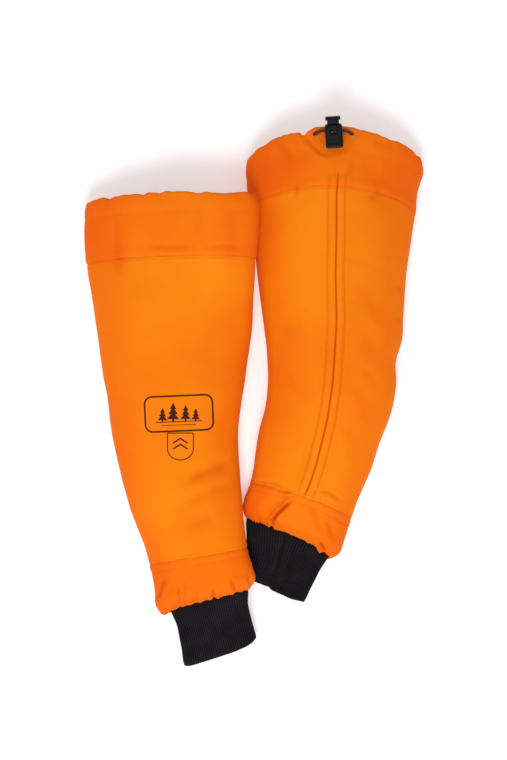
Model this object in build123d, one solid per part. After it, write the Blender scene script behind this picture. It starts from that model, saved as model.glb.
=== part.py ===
from build123d import *
from dataclasses import dataclass
from math import atan2, cos, radians, sin, sqrt, tan
import os

# A pair of chainsaw protective arm sleeves lying side by side on a flat surface at z = 0.
# +Y points from the cuffs to the upper arm, +X to the right, +Z up, all in millimetres.
# The left sleeve lies front side up, the right one back side up, so that its cord lock shows.

# ---------------------------------------------------------------- wall of the sleeves
SHELL = 1.0              # high-visibility outer cloth
GAP = 0.3                # air between two loose layers
LAYER = 1.1              # one layer of loose cut-stopping fibre
LAYER_COUNT = 5
LINING = 0.7
HEM_WALL = 8.0           # the gathered hem, folded round its cord channel
LOWER_BAND_WALL = 3.0
CUFF_WALL = 3.2
SEAM_GAP = 20.0          # the layers stop short of the centre back seam

# ---------------------------------------------------------------- drawcord
CORD = 3.0
CHANNEL = 3.7            # bore of the hem channel
CORD_INSET = 4.0         # cord centre below the hem's surface
CORD_CLEAR = 3.0         # cord centre above the hem's surface where it passes the lock
CORD_END = 0.4           # half of the gap between the cord's two ends
EXIT_TURN, EXIT_DROP, EXIT_JOIN = 13.0, 23.0, 36.0
EXIT_BEND = 5.0          # bend radius at the two eyelets

# ---------------------------------------------------------------- cord lock, in its own frame
# Origin on the cord under the lock, X along the cord, Y to the plunger, Z away from the cloth.
LOCK_WIDTH = 18.0
LOCK_LOW, LOCK_HIGH = -17.0, 7.8
SHOULDER, FOOT = 2.4, 2.2    # corner radii of its outline
LOCK_BACK, LOCK_FRONT = 1.9, 12.9
LOCK_MID = (LOCK_BACK + LOCK_FRONT) / 2
POCKET_WIDTH, POCKET_DEPTH, POCKET_LOW = 12.8, 6.4, -14.6
STEM_WIDTH, STEM_DEPTH, STEM_LOW = 12.2, 5.8, -7.0
HEAD_WIDTH, HEAD_DEPTH, HEAD_LOW, HEAD_TOP = 15.8, 9.0, 12.2, 15.8
PANEL_HALF, PANEL_LOW, PANEL_HIGH, PANEL_DEPTH = 6.0, -12.2, -3.4, 1.0
GRIP_RADIUS, GRIP_STEPS = 0.6, (-6.0, -9.0, -12.0)
PRESS_TRAVEL = 4.0
WINDOW_WIDTH, WINDOW_HEIGHT = 8.2, 4.6
CORD_APART = 1.9         # each cord end from the middle of the window
SPRING_WIRE, SPRING_RADIUS, SPRING_TURNS = 0.6, 2.2, 4.5


@dataclass
class Station:
    """One cross-section: a flattened ring with a flat underside, round sides and a crowned top."""

    x: float             # middle of the section
    y: float             # where its sides are
    half_width: float
    height: float
    side: float          # radius of its round sides
    heading: float = 0   # the way to the cuff, in degrees from -Y towards +X
    tilt: float = 0      # the top leans towards the upper arm
    roll: float = 0      # the right side is lifted
    lift: float = 0

    def plane(self):
        h, t = radians(self.heading), radians(self.tilt)
        along, across = Vector(sin(h), -cos(h), 0), Vector(cos(h), sin(h), 0)
        floor = Vector(self.x, self.y, self.lift) + along * (self.side * tan(t))
        return Plane(floor, x_dir=across, z_dir=along * cos(t) + Vector(0, 0, sin(t)))

    def oval(self):
        """In the section's plane: flat half-width, side radius, height, crown radius."""
        lean = cos(radians(self.tilt))
        side, height = self.side / lean, self.height / lean
        flat = (self.half_width - side) / cos(radians(self.roll))
        crown = (flat**2 + height**2 - 2 * height * side) / (2 * (height - 2 * side))
        return flat, side, height, crown

    def point(self, u, v):
        """A point of the section's plane, rolled about the centre of its left side."""
        flat, side, _, _ = self.oval()
        a, b, r = u + flat, v - side, radians(self.roll)
        rolled = (a * cos(r) - b * sin(r) - flat, a * sin(r) + b * cos(r) + side)
        return self.plane().from_local_coords(rolled)


def crown_height(station, inset, u):
    _, _, height, crown = station.oval()
    return height - crown + sqrt((crown - inset) ** 2 - u**2)


def side_points(station, inset):
    """Bottom, outermost and top point of the right side, at an inset from the outline."""
    flat, side, height, crown = station.oval()
    lean = atan2(flat, crown - height + side)
    radius = side - inset
    low, mid, top = -radians(90), -lean / 2, radians(90) - lean
    return [(flat + radius * cos(a), side + radius * sin(a)) for a in (low, mid, top)]


def arc(station, *points):
    return ThreePointArc(*[station.point(u, v) for u, v in points])


def line(station, start, end):
    return Line(station.point(*start), station.point(*end))


def section(station, inset):
    low, mid, top = side_points(station, inset)
    left = [(-u, v) for u, v in (low, mid, top)]
    peak = (0, crown_height(station, inset, 0))
    edges = [
        line(station, left[0], low),
        arc(station, low, mid, top),
        arc(station, top, peak, left[2]),
        arc(station, left[2], left[1], left[0]),
    ]
    return Wire(edges)


def tube(stations, outer, inner):
    skins = [Solid.make_loft([section(s, d) for s in stations], ruled=True) for d in (outer, inner)]
    return skins[0] - skins[1]


# ---------------------------------------------------------------- the two sleeves
LEFT = {
    "hem": [
        Station(-83.5, 197, 88.0, 52, 19, 0, 11, 15, 2.4),
        Station(-83.5, 189, 89.5, 52, 19, 0, 11, 15, 2.4),
        Station(-83.8, 159, 91.4, 54, 20, 0, 10, 14, 1.2),
        Station(-84.2, 131, 89.0, 55, 20, 0, 9, 12, 0),
    ],
    "main": [
        Station(-84.2, 131, 88.0, 55, 20, 0, 9, 12, 0),
        Station(-84.0, 88, 84.5, 60, 22, 0, 4, 5, 0),
        Station(-83.3, 40, 78.6, 62, 23, 0, 0, 0, 0),
        Station(-83.6, -12, 70.9, 60, 23, 1, 0, 0, 0),
        Station(-80.5, -64, 64.0, 57, 22, 4, 0, 0, 0),
        Station(-70.6, -116, 58.5, 53, 20, 8, 0, 5, 0),
        Station(-56.4, -173, 52.3, 46, 18, 10, 0, 14, 0),
    ],
    "lower_band": [
        Station(-56.4, -173, 52.5, 46, 18, 10, 0, 14, 0),
        Station(-50.8, -197, 53.6, 44, 17, 13, 0, 16, 0),
        Station(-48.6, -212, 52.0, 38, 15, 15, 0, 16, 0.5),
        Station(-47.4, -217, 46.0, 29, 12, 15, 0, 15, 1.5),
    ],
    "cuff": [
        Station(-49.0, -211, 40.6, 20.5, 8.5, 15, 0, 15, 6.2),
        Station(-47.4, -217, 40.6, 20.5, 8.5, 15, 0, 15, 5.6),
        Station(-43.0, -236, 38.4, 19, 8.0, 15, 0, 11, 1.5),
        Station(-39.0, -255, 38.6, 18, 7.5, 16, 0, 8, 0),
        Station(-34.5, -277, 39.6, 18, 7.5, 18, 0, 6, 0),
    ],
    "back_up": False,
    "lock_shift": 0.0,
    "lock_swing": -8.0,
    "lock_turn": 3.0,
}

RIGHT = {
    "hem": [
        Station(84.6, 241, 89.5, 62, 20, 0, 38, 0, 0),
        Station(84.6, 234.5, 91.0, 62, 20, 0, 38, 0, 0),
        Station(81.8, 208, 88.4, 64, 21, 0, 32, 0, 0),
        Station(82.2, 184, 86.6, 65, 22, 0, 30, 0, 0),
    ],
    "main": [
        Station(82.2, 184, 85.6, 65, 22, 0, 30, 0, 0),
        Station(81.4, 105, 77.0, 65, 23, 0, 10, 0, 0),
        Station(83.4, 42, 70.5, 63, 23, -2, 0, 0, 0),
        Station(78.6, -11, 65.2, 60, 22, -8, 0, 0, 0),
        Station(65.4, -63, 61.6, 56, 21, -15, 4, 0, 0),
        Station(48.6, -117, 56.4, 49, 19, -19, 13, 0, 0),
    ],
    "lower_band": [
        Station(48.6, -117, 56.6, 49, 19, -19, 13, 0, 0),
        Station(42.2, -135, 57.1, 45, 18, -22, 15, 0, 0),
        Station(38.5, -150.6, 54.4, 37, 15, -24, 16, 0, 0),
        Station(37.7, -155.6, 48.9, 28, 12, -24, 16, 0, 0),
    ],
    "cuff": [
        Station(39.6, -149.2, 44.6, 20, 8.5, -24, 14, 0, 3.8),
        Station(36.8, -155.2, 44.2, 20, 8.5, -24, 13, 0, 3.6),
        Station(32.0, -171, 40.6, 17, 7.5, -25, 6, 0, 0.6),
        Station(26.0, -189, 38.0, 16, 7.0, -25, 0, 0, 0),
        Station(17.8, -207, 37.6, 16, 7.0, -25, 0, 0, 0),
    ],
    "back_up": True,
    "lock_shift": -2.0,
    "lock_swing": 10.0,
    "lock_turn": 4.0,
}


def seam_strip(stations, back_up):
    """The lane along the centre back where the padding is left out."""
    half = SEAM_GAP / 2
    ends = [(stations[0].x, stations[0].y + 90)]
    ends += [(s.x, s.y) for s in stations] + [(stations[-1].x, stations[-1].y - 60)]
    outline = [(x - half, y) for x, y in ends] + [(x + half, y) for x, y in reversed(ends)]
    lane = make_face(Polyline(*outline, close=True))
    if back_up:
        return Pos(0, 0, min(s.side for s in stations)) * extrude(lane, 90)
    return Pos(0, 0, -1) * extrude(lane, 1 + min(s.height for s in stations) / 2)


def padding(sleeve):
    """The protective layers, outermost first: each wraps the arm from seam to seam."""
    lane = seam_strip(sleeve["main"], sleeve["back_up"])
    layers = []
    for k in range(LAYER_COUNT):
        start = SHELL + GAP + k * (LAYER + GAP)
        layers.append(tube(sleeve["main"], start, start + LAYER) - lane)
    return layers


def lining(sleeve):
    start = SHELL + GAP + LAYER_COUNT * (LAYER + GAP)
    return tube(sleeve["main"], start, start + LINING)


def exit_bend(station, sleeve, side):
    """From under the lock, down through an eyelet and into the hem channel."""
    shift, out = sleeve["lock_shift"], sleeve["back_up"]
    height = station.oval()[2]
    over = height + CORD_CLEAR if out else -CORD_CLEAR
    end = shift + side * EXIT_JOIN
    if out:
        crown = station.oval()[3] - CORD_INSET
        joint = crown_height(station, CORD_INSET, end)
        slope = -end / sqrt(crown**2 - end**2)
    else:
        joint, slope = CORD_INSET, 0
    turn = shift + side * EXIT_DROP
    corner = (turn, joint + slope * (turn - end))
    points = [(shift + side * CORD_END, over), (shift + side * EXIT_TURN, over), corner, (end, joint)]
    bend = FilletPolyline(*[station.point(u, v) for u, v in points], radius=EXIT_BEND)
    return list(bend.edges()), (end, joint)


def cord_route(sleeve):
    """Once round the hem at the cord's depth, with both ends out at the centre back."""
    station = sleeve["hem"][1]
    low, mid, top = side_points(station, CORD_INSET)
    left = [(-u, v) for u, v in (low, mid, top)]
    first, right_end = exit_bend(station, sleeve, 1)
    last, left_end = exit_bend(station, sleeve, -1)
    sides = [arc(station, low, mid, top), arc(station, *left)]
    if sleeve["back_up"]:
        halfway = [(end[0] + far[0]) / 2 for end, far in ((right_end, top), (left_end, left[2]))]
        over = [(u, crown_height(station, CORD_INSET, u)) for u in halfway]
        crown = [arc(station, right_end, over[0], top), arc(station, left_end, over[1], left[2])]
        rest = crown + [line(station, left[0], low)]
    else:
        peak = (0, crown_height(station, CORD_INSET, 0))
        runs = [line(station, right_end, low), line(station, left_end, left[0])]
        rest = runs + [arc(station, top, peak, left[2])]
    return Wire(first + last + sides + rest)


def along_route(route, diameter):
    start = Plane(route @ 0, z_dir=route % 0)
    return sweep(start * Circle(diameter / 2), path=route)


def upper_band(sleeve, route):
    return tube(sleeve["hem"], 0, HEM_WALL) - along_route(route, CHANNEL)


# ---------------------------------------------------------------- cord lock
def block(width, low, high, depth, middle=LOCK_MID):
    return Pos(0, (low + high) / 2, middle) * Box(width, high - low, depth)


def oblong(width, height, low, high):
    """An upright prism with round ends, for the window that the cord goes through."""
    return Pos(0, 0, low) * extrude(SlotOverall(width, height), high - low)


def lock_body():
    depth = LOCK_FRONT - LOCK_BACK
    body = block(LOCK_WIDTH, LOCK_LOW, LOCK_HIGH, depth)
    body = fillet(body.edges().filter_by(Axis.Z).sort_by(Axis.Y)[2:], SHOULDER)
    body = fillet(body.edges().filter_by(Axis.Z).sort_by(Axis.Y)[:2], FOOT)
    body = fillet(body.faces().sort_by(Axis.Z)[-1].edges(), 1.6)
    body = chamfer(body.faces().sort_by(Axis.Z)[0].edges(), 0.6)
    body -= block(POCKET_WIDTH, POCKET_LOW, LOCK_HIGH + 1, POCKET_DEPTH)
    body -= oblong(WINDOW_WIDTH, WINDOW_HEIGHT, LOCK_BACK - 1, LOCK_FRONT + 1)
    panel = block(2 * PANEL_HALF, PANEL_LOW, PANEL_HIGH, 2 * PANEL_DEPTH, LOCK_FRONT)
    body -= fillet(panel.edges().filter_by(Axis.Z), 1.0)
    lip = Pos(0, PANEL_LOW - 1.3, LOCK_FRONT - 0.1) * Rot(0, 90, 0) * Cylinder(0.7, 2 * PANEL_HALF)
    for side in (-1, 1):
        for y in GRIP_STEPS:
            body -= Pos(side * LOCK_WIDTH / 2, y, LOCK_MID) * Cylinder(GRIP_RADIUS, depth)
    return body + lip


def lock_plunger():
    stem = block(STEM_WIDTH, STEM_LOW, HEAD_LOW, STEM_DEPTH)
    head = fillet(block(HEAD_WIDTH, HEAD_LOW, HEAD_TOP, HEAD_DEPTH).edges().filter_by(Axis.Y), 1.8)
    head = fillet(head.faces().sort_by(Axis.Y)[-1].edges(), 1.0)
    slot_low, slot_high = -WINDOW_HEIGHT / 2, WINDOW_HEIGHT / 2 + PRESS_TRAVEL
    plunger = stem + head - block(WINDOW_WIDTH, slot_low, slot_high, STEM_DEPTH + 2)
    for side in (-1, 1):
        port = Pos(side * 3.4, (HEAD_LOW + HEAD_TOP) / 2, LOCK_MID + HEAD_DEPTH / 2)
        plunger -= port * Box(3.6, 1.7, 2.4)
    return plunger


def lock_spring():
    """A compression spring between the plunger's foot and the floor of the pocket."""
    clear = SPRING_WIRE / 2 + 0.05
    low, high = POCKET_LOW + clear, STEM_LOW - clear
    coil = Helix((high - low) / SPRING_TURNS, high - low, SPRING_RADIUS)
    wire = sweep(Plane(coil @ 0, z_dir=coil % 0) * Circle(SPRING_WIRE / 2), path=coil, is_frenet=True)
    return Pos(0, low, LOCK_MID) * Rot(-90, 0, 0) * wire


def cord_ends():
    """The drawcord's two ends, standing in the lock's window with melted, rounded tips."""
    radius, low, high = CORD / 2, LOCK_BACK, LOCK_FRONT - 1.0
    stub = Pos(0, 0, (low + high) / 2) * Cylinder(radius, high - low)
    stub = fillet(stub.faces().sort_by(Axis.Z)[-1].edges(), 0.7)
    return Compound([Pos(side * CORD_APART, 0, 0) * stub for side in (-1, 1)])


def cord_frame(sleeve):
    """On the cord between the two eyelets: X along the cord, Z away from the cloth."""
    station = sleeve["hem"][1]
    out, shift = sleeve["back_up"], sleeve["lock_shift"]
    over = station.oval()[2] + CORD_CLEAR if out else -CORD_CLEAR
    origin = station.point(shift, over)
    across = (station.point(shift + 1, over) - origin) * (1 if out else -1)
    flat_y = Vector(0, 1, 0) - across * across.Y
    return Plane(origin, x_dir=across, z_dir=across.cross(flat_y))


def lock_place(sleeve):
    """The lock swings on the cord, and lies a little askew on it."""
    swing, turn = Rot(sleeve["lock_swing"], 0, 0), Rot(0, 0, sleeve["lock_turn"])
    return cord_frame(sleeve).location * swing * turn


def sleeve_nodes(name, sleeve):
    route = cord_route(sleeve)
    place = lock_place(sleeve)
    nodes = {
        "outer_shell": tube(sleeve["main"], 0, SHELL),
        "upper_band": upper_band(sleeve, route),
        "lower_band": tube(sleeve["lower_band"], 0, LOWER_BAND_WALL),
        "knit_cuff": tube(sleeve["cuff"], 0, CUFF_WALL),
        "lining": lining(sleeve),
        "drawcord": along_route(route, CORD),
        "cord_ends": place * cord_ends(),
        "lock_body": place * lock_body(),
        "lock_plunger": place * lock_plunger(),
        "lock_spring": place * lock_spring(),
    }
    for k, layer in enumerate(padding(sleeve), 1):
        nodes[f"protective_layer_{k}"] = layer
    return {f"{name}_{node}": shape for node, shape in nodes.items()}


def centred(nodes):
    """Move everything so that the pair's box stands centred on the origin."""
    box = Compound(list(nodes.values())).bounding_box()
    shift = (-(box.min.X + box.max.X) / 2, -(box.min.Y + box.max.Y) / 2, -box.min.Z)
    return {name: Pos(*shift) * shape for name, shape in nodes.items()}, shift


nodes, shift = centred({**sleeve_nodes("left", LEFT), **sleeve_nodes("right", RIGHT)})
print("moved by", [round(v, 4) for v in shift])
os.makedirs("parts", exist_ok=True)
for name, shape in nodes.items():
    export_step(shape, f"parts/{name}.step")
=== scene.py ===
import bpy
import numpy as np
from math import cos, pi, radians, sin, tan
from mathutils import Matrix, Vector, noise
from mathutils.bvhtree import BVHTree


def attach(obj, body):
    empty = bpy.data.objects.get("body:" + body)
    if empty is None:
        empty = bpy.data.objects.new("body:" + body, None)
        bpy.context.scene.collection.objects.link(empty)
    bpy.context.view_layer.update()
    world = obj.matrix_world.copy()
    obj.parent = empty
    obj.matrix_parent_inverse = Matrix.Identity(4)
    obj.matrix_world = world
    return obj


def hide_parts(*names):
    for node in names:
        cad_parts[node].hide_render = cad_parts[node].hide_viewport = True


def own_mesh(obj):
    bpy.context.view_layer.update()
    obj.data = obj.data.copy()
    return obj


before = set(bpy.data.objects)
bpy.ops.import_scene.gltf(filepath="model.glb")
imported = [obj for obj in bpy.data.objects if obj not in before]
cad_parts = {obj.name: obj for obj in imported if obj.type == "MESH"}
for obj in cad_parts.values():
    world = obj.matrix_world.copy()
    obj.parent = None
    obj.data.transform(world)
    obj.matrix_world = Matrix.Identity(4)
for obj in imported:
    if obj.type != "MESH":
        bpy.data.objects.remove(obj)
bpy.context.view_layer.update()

# A pair of chainsaw arm sleeves, lying on a table: metres, +Y to the upper arm, +Z up.
# MM turns the millimetre tables below into metres, and PAIR_SHIFT is where the CAD frame
# puts the origin of those tables.
MM = 0.001
PAIR_SHIFT = np.array([0.888, 2.419, 0.0])

# ---- the sleeves' cross-sections
# One row a section, from the rim to the wrist: middle x, y, half width, height, side radius,
# heading, tilt, roll, lift. Angles are in degrees. They are the CAD's sections, apart from the
# right hem's seam, the left lower band's end and the cuffs' tops.
SLEEVE = {"left": [
    (-83.5, 197, 88.0, 52, 19, 0, 11, 15, 2.4),
    (-83.5, 189, 89.5, 52, 19, 0, 11, 15, 2.4),
    (-83.8, 159, 91.0, 54, 20, 0, 10, 14, 1.2),
    (-84.2, 131, 88.2, 55, 20, 0, 9, 12, 0),
    (-84.0, 88, 84.5, 60, 22, 0, 4, 5, 0),
    (-83.3, 40, 78.6, 62, 23, 0, 0, 0, 0),
    (-83.6, -12, 70.9, 60, 23, 1, 0, 0, 0),
    (-80.5, -64, 64.0, 57, 22, 4, 0, 0, 0),
    (-70.6, -116, 58.5, 53, 20, 8, 0, 5, 0),
    (-56.4, -173, 52.4, 46, 18, 10, 0, 14, 0),
    (-50.8, -197, 53.6, 44, 17, 13, 0, 16, 0),
    (-49.4, -212, 54.6, 38, 15, 15, 0, 16, 0.5),
    (-49.8, -217.4, 51.0, 29, 12, 15, 0, 15, 1.5)
], "right": [
    (84.6, 241, 89.5, 62, 20, 0, 38, 0, 0),
    (84.6, 234.5, 91.0, 62, 20, 0, 38, 0, 0),
    (81.8, 208, 88.2, 64, 21, 0, 32, 0, 0),
    (82.2, 184, 85.8, 65, 22, -1.2, 33, 0, 0),
    (81.4, 105, 76.8, 65, 23, 0, 10, 0, 0),
    (83.4, 42, 70.5, 63, 23, -2, 0, 0, 0),
    (78.6, -11, 65.2, 60, 22, -8, 0, 0, 0),
    (65.4, -63, 61.6, 56, 21, -15, 4, 0, 0),
    (48.6, -117, 56.5, 49, 19, -19, 13, 0, 0),
    (42.2, -135, 57.1, 45, 18, -22, 15, 0, 0),
    (38.5, -150.6, 54.4, 37, 15, -24, 16, 0, 0),
    (37.7, -155.6, 48.9, 28, 12, -24, 16, 0, 0)
]}
CUFF = {"left": [
    (-48.0, -211, 42.0, 20.5, 8.5, 15, 0, 15, 6.2),
    (-46.4, -217, 41.6, 20.5, 8.5, 15, 0, 15, 5.6),
    (-43.0, -236, 38.4, 19, 8.0, 15, 0, 11, 1.5),
    (-39.0, -255, 38.6, 18, 7.5, 16, 0, 8, 0),
    (-34.5, -277, 39.6, 18, 7.5, 18, 0, 6, 0)
], "right": [
    (38.4, -149.2, 46.9, 20, 8.5, -24, 14, 0, 3.8),
    (35.5, -155.2, 46.5, 20, 8.5, -24, 13, 0, 3.6),
    (31.0, -171, 41.8, 17, 7.5, -25, 6, 0, 0.6),
    (26.0, -189, 38.0, 16, 7.0, -25, 0, 0, 0),
    (17.8, -207, 37.6, 16, 7.0, -25, 0, 0, 0)
]}
# The rows of the sleeve where the hem and the lower band are sewn on, and which side is up.
SEAMS = {"left": (3, 9), "right": (3, 8)}
BACK_UP = {"left": False, "right": True}
CROWN_SHARE, SIDE_SHARE = 0.19, 0.35     # where, round half a section, crown and side end
HEM_WALL, CUFF_WALL, BAND_WALL, SHELL_WALL = 7.0, 3.0, 2.4, 0.9
LINING_INSET, LINING_WALL = 8.6, 0.7
LAYER_START, LAYER_STEP, LAYER_WALL, LAYER_COUNT = 3.0, 1.1, 0.8, 5
LAYER_GAP, LAYER_SHARE = 4, 0.93         # grid steps left open at a layer's back seam; the share it covers
FLOOR_GAP = 0.15         # the least height of any cloth over the table
END_CROWDING, SHELL_CROWDING, HEM_CROWDING = 0.6, 0.72, 0.45    # grid lines nearer to the seams
RIM_TRIM, CHANNEL_REACH = 3.2, 22        # the hem starts this far in; its cord channel ends here
RIM_LOWEST = 5.5        # the rim's deepest wave, so that the cord in its channel stays covered
LOCK_REACH = 28.0       # the cloth stays flat this near to the lock's middle
RIB_PITCH, RIB_DEPTH, RIB_POINTS = 2.35, 0.9, 8
# Points round each tube and along it.
SHELL_GRID, HEM_GRID, BAND_GRID, LAYER_GRID, CUFF_RINGS = (360, 190), (400, 80), (300, 60), (120, 46), 64
# How the cloth is gathered: at which end, over what reach, how deep, and at what pitch.
SHELL_GATHERS = [("start", 9, 0.5, 16), ("end", 12, 0.9, 14)]
HEM_GATHERS = [("start", 26, 2.0, 15), ("end", 10, 0.7, 18)]
BAND_GATHERS = [("start", 8, 0.7, 12), ("end", 13, 1.6, 12)]

# ---- folds and seams, in mm
# Each fold: its route from above, depth, half width, and how much cloth stands up beside it.
FOLDS = {"left": [
    ([(-20, -74), (-45, -84), (-74, -92)], 1.9, 8, 0.5),
    ([(-14, -96), (-40, -104), (-76, -120)], 1.5, 7, 0.5),
    ([(-34, -126), (-62, -140), (-84, -146)], 1.2, 8, 0.4),
    ([(-108, 149), (-84, 147.5), (-62, 149)], 0.6, 3.4, 0.5),
    ([(-52, 147), (-30, 150), (-10, 146)], 0.6, 3.0, 0.4),
    ([(-143, 190), (-142, 150), (-141, 112)], 0.9, 5, 0.2),
    ([(-24, 186), (-22, 160), (-25, 128)], 0.8, 6, 0.3),
    ([(-58, 196), (-56, 176), (-60, 160)], 0.7, 5, 0.3),
    ([(-93, -195), (-97, -204), (-102, -219)], 1.8, 2.6, 0.8),
    ([(-80, -203), (-80, -214), (-78, -226)], 1.5, 2.4, 0.5),
    ([(-73, -196), (-73, -212), (-72, -224)], 1.0, 3.4, 0.5),
    ([(-44, -204), (-42, -212), (-41, -222)], 1.6, 2.0, 0.5),
    ([(-24, -195), (-21, -203), (-19, -211)], 1.8, 2.2, 0.5),
    ([(-6, -190), (-4, -199), (-2, -207)], 1.5, 2.2, 0.5),
    ([(-60, -204), (-60, -214), (-59, -222)], 0.9, 3.0, 0.5),
    ([(-8, -150), (-4, -170), (4, -190)], 0.9, 6, 0.3), ([(-33, 40), (-60, 30), (-90, 34)], 0.6, 14, 0.2),
    ([(-120, -20), (-96, -34), (-70, -32)], 0.6, 14, 0.2)
], "right": [
    ([(51.0, 272), (54, 264), (60, 255), (70, 246), (84, 242)], 1.2, 2.6, 0.5),
    ([(67, 263), (71, 257), (75, 254)], 1.0, 1.8, 0.4), ([(72, 266), (75, 260), (78, 257)], 0.8, 1.6, 0.4),
    ([(21, 262), (34, 247), (38, 236)], 1.3, 5, 0.5), ([(44, 217), (44.5, 207), (43, 200)], 1.2, 2.8, 0.6),
    ([(101, 243), (102, 232), (98, 222)], 1.0, 4, 0.4), ([(126, 212), (130, 205), (120, 198)], 1.2, 5, 0.3),
    ([(120, 262), (134, 256), (150, 252)], 0.9, 5, 0.3),
    ([(104, 205), (128, 200), (152, 190)], 0.7, 6, 0.3),
    ([(42, -114), (33, -121), (24, -129), (18.5, -137), (19, -146)], 3.6, 1.7, 0.6),
    ([(36, -112), (24, -120), (12, -134)], 1.8, 7.0, 0.5),
    ([(56, -116), (63, -128), (69, -146), (72, -158)], 1.2, 4.6, 0.4),
    ([(73, -133), (79, -144), (82, -156)], 1.6, 4.4, 0.4),
    ([(68, -160), (73, -164), (76, -168)], 2.4, 2.0, 0.6),
    ([(22, -104), (32, -106), (42, -105)], 1.1, 1.8, 0.6),
    ([(30, -111), (38, -111.5), (46, -110)], 0.9, 1.6, 0.6),
    ([(66, -106), (78, -106), (92, -116)], 1.2, 2.4, 0.5),
    ([(3, -96), (16, -97), (30, -98)], 0.9, 3.0, 0.4), ([(128, 96), (110, 84), (104, 66)], 0.7, 12, 0.2),
    ([(148, 108), (157, 104), (163, 100)], 1.0, 4.0, 0.5),
    ([(146, 74), (155, 72), (160, 68)], 0.8, 4.0, 0.4), ([(112, 22), (120, 16), (130, 4)], 0.9, 5.5, 0.4),
    ([(28, 60), (38, 66), (52, 68)], 0.7, 9, 0.3)
]}
# How far the rim is drawn back along the arm, at each x.
RIM_DROP = {"left": [
    (-180, 0), (-160, 0.4), (-151, 2.6), (-146, 0.4), (-122, 0.4), (-116, 2.4), (-111, 0.2), (-99, 2.2),
    (-92, 0.6), (-70, 1.8), (-60, 4.2), (-50, 2.4), (-34, 2.8), (-20, 3.0), (-8, 1.6), (10, 3.0)
], "right": [
    (-10, 0), (10, 1.0), (24, -1.2), (38, -1.2), (46, 1.0), (51, 6.2), (55, 2.8), (63, -1.2), (90, -1.2),
    (104, -0.6), (112, 2.0), (124, 1.0), (136, 3.0), (150, 1.0), (163, 1.4), (176, 0.4)
]}
# How far the lower band's edge and the knit's edge reach on past it, at each x.
BAND_REACH = {"left": [
    (-110, -4.0), (-103, 2.4), (-97, 6.4), (-90, 5.0), (-78, 7.4), (-72, 5.4), (-64, 7.0), (-48, 6.2),
    (-42, 3.6), (-36, 6.0), (-24, 5.0), (-18, 2.8), (-12, 4.4), (4, 2.4)
], "right": [
    (-8, 5.2), (2, 4.6), (9, 2.6), (14, 3.8), (18, 0.4), (22, 3.2), (30, 1.2), (44, 1.0), (56, 1.6),
    (66, 1.0), (71, 3.4), (78, 3.0), (90, 2.0)
]}
CUFF_REACH = {"left": [
    (-75, -1.4), (-68, 0.6), (-50, 0.8), (-20, 0.6), (-8, -0.8), (-1, -2.6), (4, -6.0)
], "right": [
    (-12, -1.0), (0, 0.8), (10, 0.2), (17, -1.4), (22, 0.4), (40, 0.8), (50, -1.2)
]}
# Painted shade: the cloth is tinted redder where it turns away from the light. How much of it the middle of
# the cloth takes (its sides are at 1), and patches of painted shade where it lies a little turned away and
# looks redder: route, strength, width.
MIDDLE_TONE = {"left": 0.0, "right": 0.25}
SHADE_PATCHES = {"left": [
    ([(-27, 16), (-22, -10), (-27, -34)], 0.4, 6), ([(-78, -104), (-52, -87), (-20, -77)], 0.6, 4),
    ([(-66, -84), (-48, -98), (-34, -112)], 0.45, 5), ([(-88, -122), (-66, -134), (-36, -142)], 0.4, 7),
    ([(-112, 150), (-86, 147), (-62, 150)], 0.6, 4), ([(-140, 192), (-141, 150), (-140, 112)], 0.35, 9),
    ([(-12, 190), (-30, 170), (-22, 130)], 0.35, 12), ([(-48, 90), (-44, 40), (-40, -10)], 0.25, 10)
], "right": [
    ([(86, 138), (112, 131), (136, 122)], 0.35, 3.5),
    ([(100, 110), (117, 96), (124, 82), (134, 66)], 0.6, 5), ([(112, 62), (119, 38), (140, 14)], 0.65, 8),
    ([(100, 10), (112, -14), (122, -40)], 0.6, 7), ([(94, -34), (101, -56), (104, -78)], 0.5, 7),
    ([(24, 32), (38, 8), (62, -20)], 0.5, 6), ([(20, 84), (30, 60), (34, 34)], 0.35, 7),
    ([(30, 216), (40, 236), (62, 246)], 0.4, 8), ([(104, 236), (126, 216), (140, 206)], 0.45, 10),
    ([(60, -60), (52, -84), (40, -102)], 0.3, 7)
]}
# Places where the padding is dented in, seen from above: centre, depth, radius.
DENTS = {"left": [
    ((-4, 92), 0.8, 24), ((-20, -40), 1.2, 16), ((-150, -10), 1.2, 22)
], "right": [
    ((156, 28), 3.6, 15), ((150, -18), -0.6, 15), ((157, 58), -1.6, 14), ((135, -55), 1.2, 18),
    ((-2, 40), 0.8, 20)
]}
# The cuffs' folds, as above, how far each draws the knit in, and how much less the ribs beyond
# it catch the light.
CUFF_FOLDS = {"left": [
    ([(-60, -222), (-56, -240), (-55, -262)], 0.7, 6, 0.2)
], "right": [
    ([(35, -140), (31, -160), (26, -180), (18.5, -203)], 5.5, 3.0, 0.6)
]}
CUFF_PINCH = {"left": 0.8, "right": 5.0}
CUFF_DIM = {"left": 0.0, "right": 0.45}
BACK_SEAM = {"left": [
    (-83.5, 176), (-84, 131), (-84, 88), (-83.3, 40), (-83.6, -12), (-80.5, -64), (-71.4, -116),
    (-58, -171)
], "right": [
    (88, 229), (86, 204), (85.7, 154), (84.8, 122), (86, 74), (84, 37), (81.9, 7), (76.6, -29), (73.0, -45),
    (65, -77), (57.8, -99), (50.8, -114)
]}
STITCH_SIDE = 8.8        # each topstitch line from the centre back seam
STITCH_LONG, STITCH_PITCH, THREAD_RADIUS = 2.6, 3.3, 0.26
# A stitch's rings: their place along it, height over the cloth in radii, and thickness.
STITCH_PROFILE = [(-0.5, -0.4, 0.55), (-0.32, 0.25, 1.0), (0, 0.5, 1.0), (0.32, 0.25, 1.0), (0.5, -0.4, 0.55)]
STITCH_SIDES = 6
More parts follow.
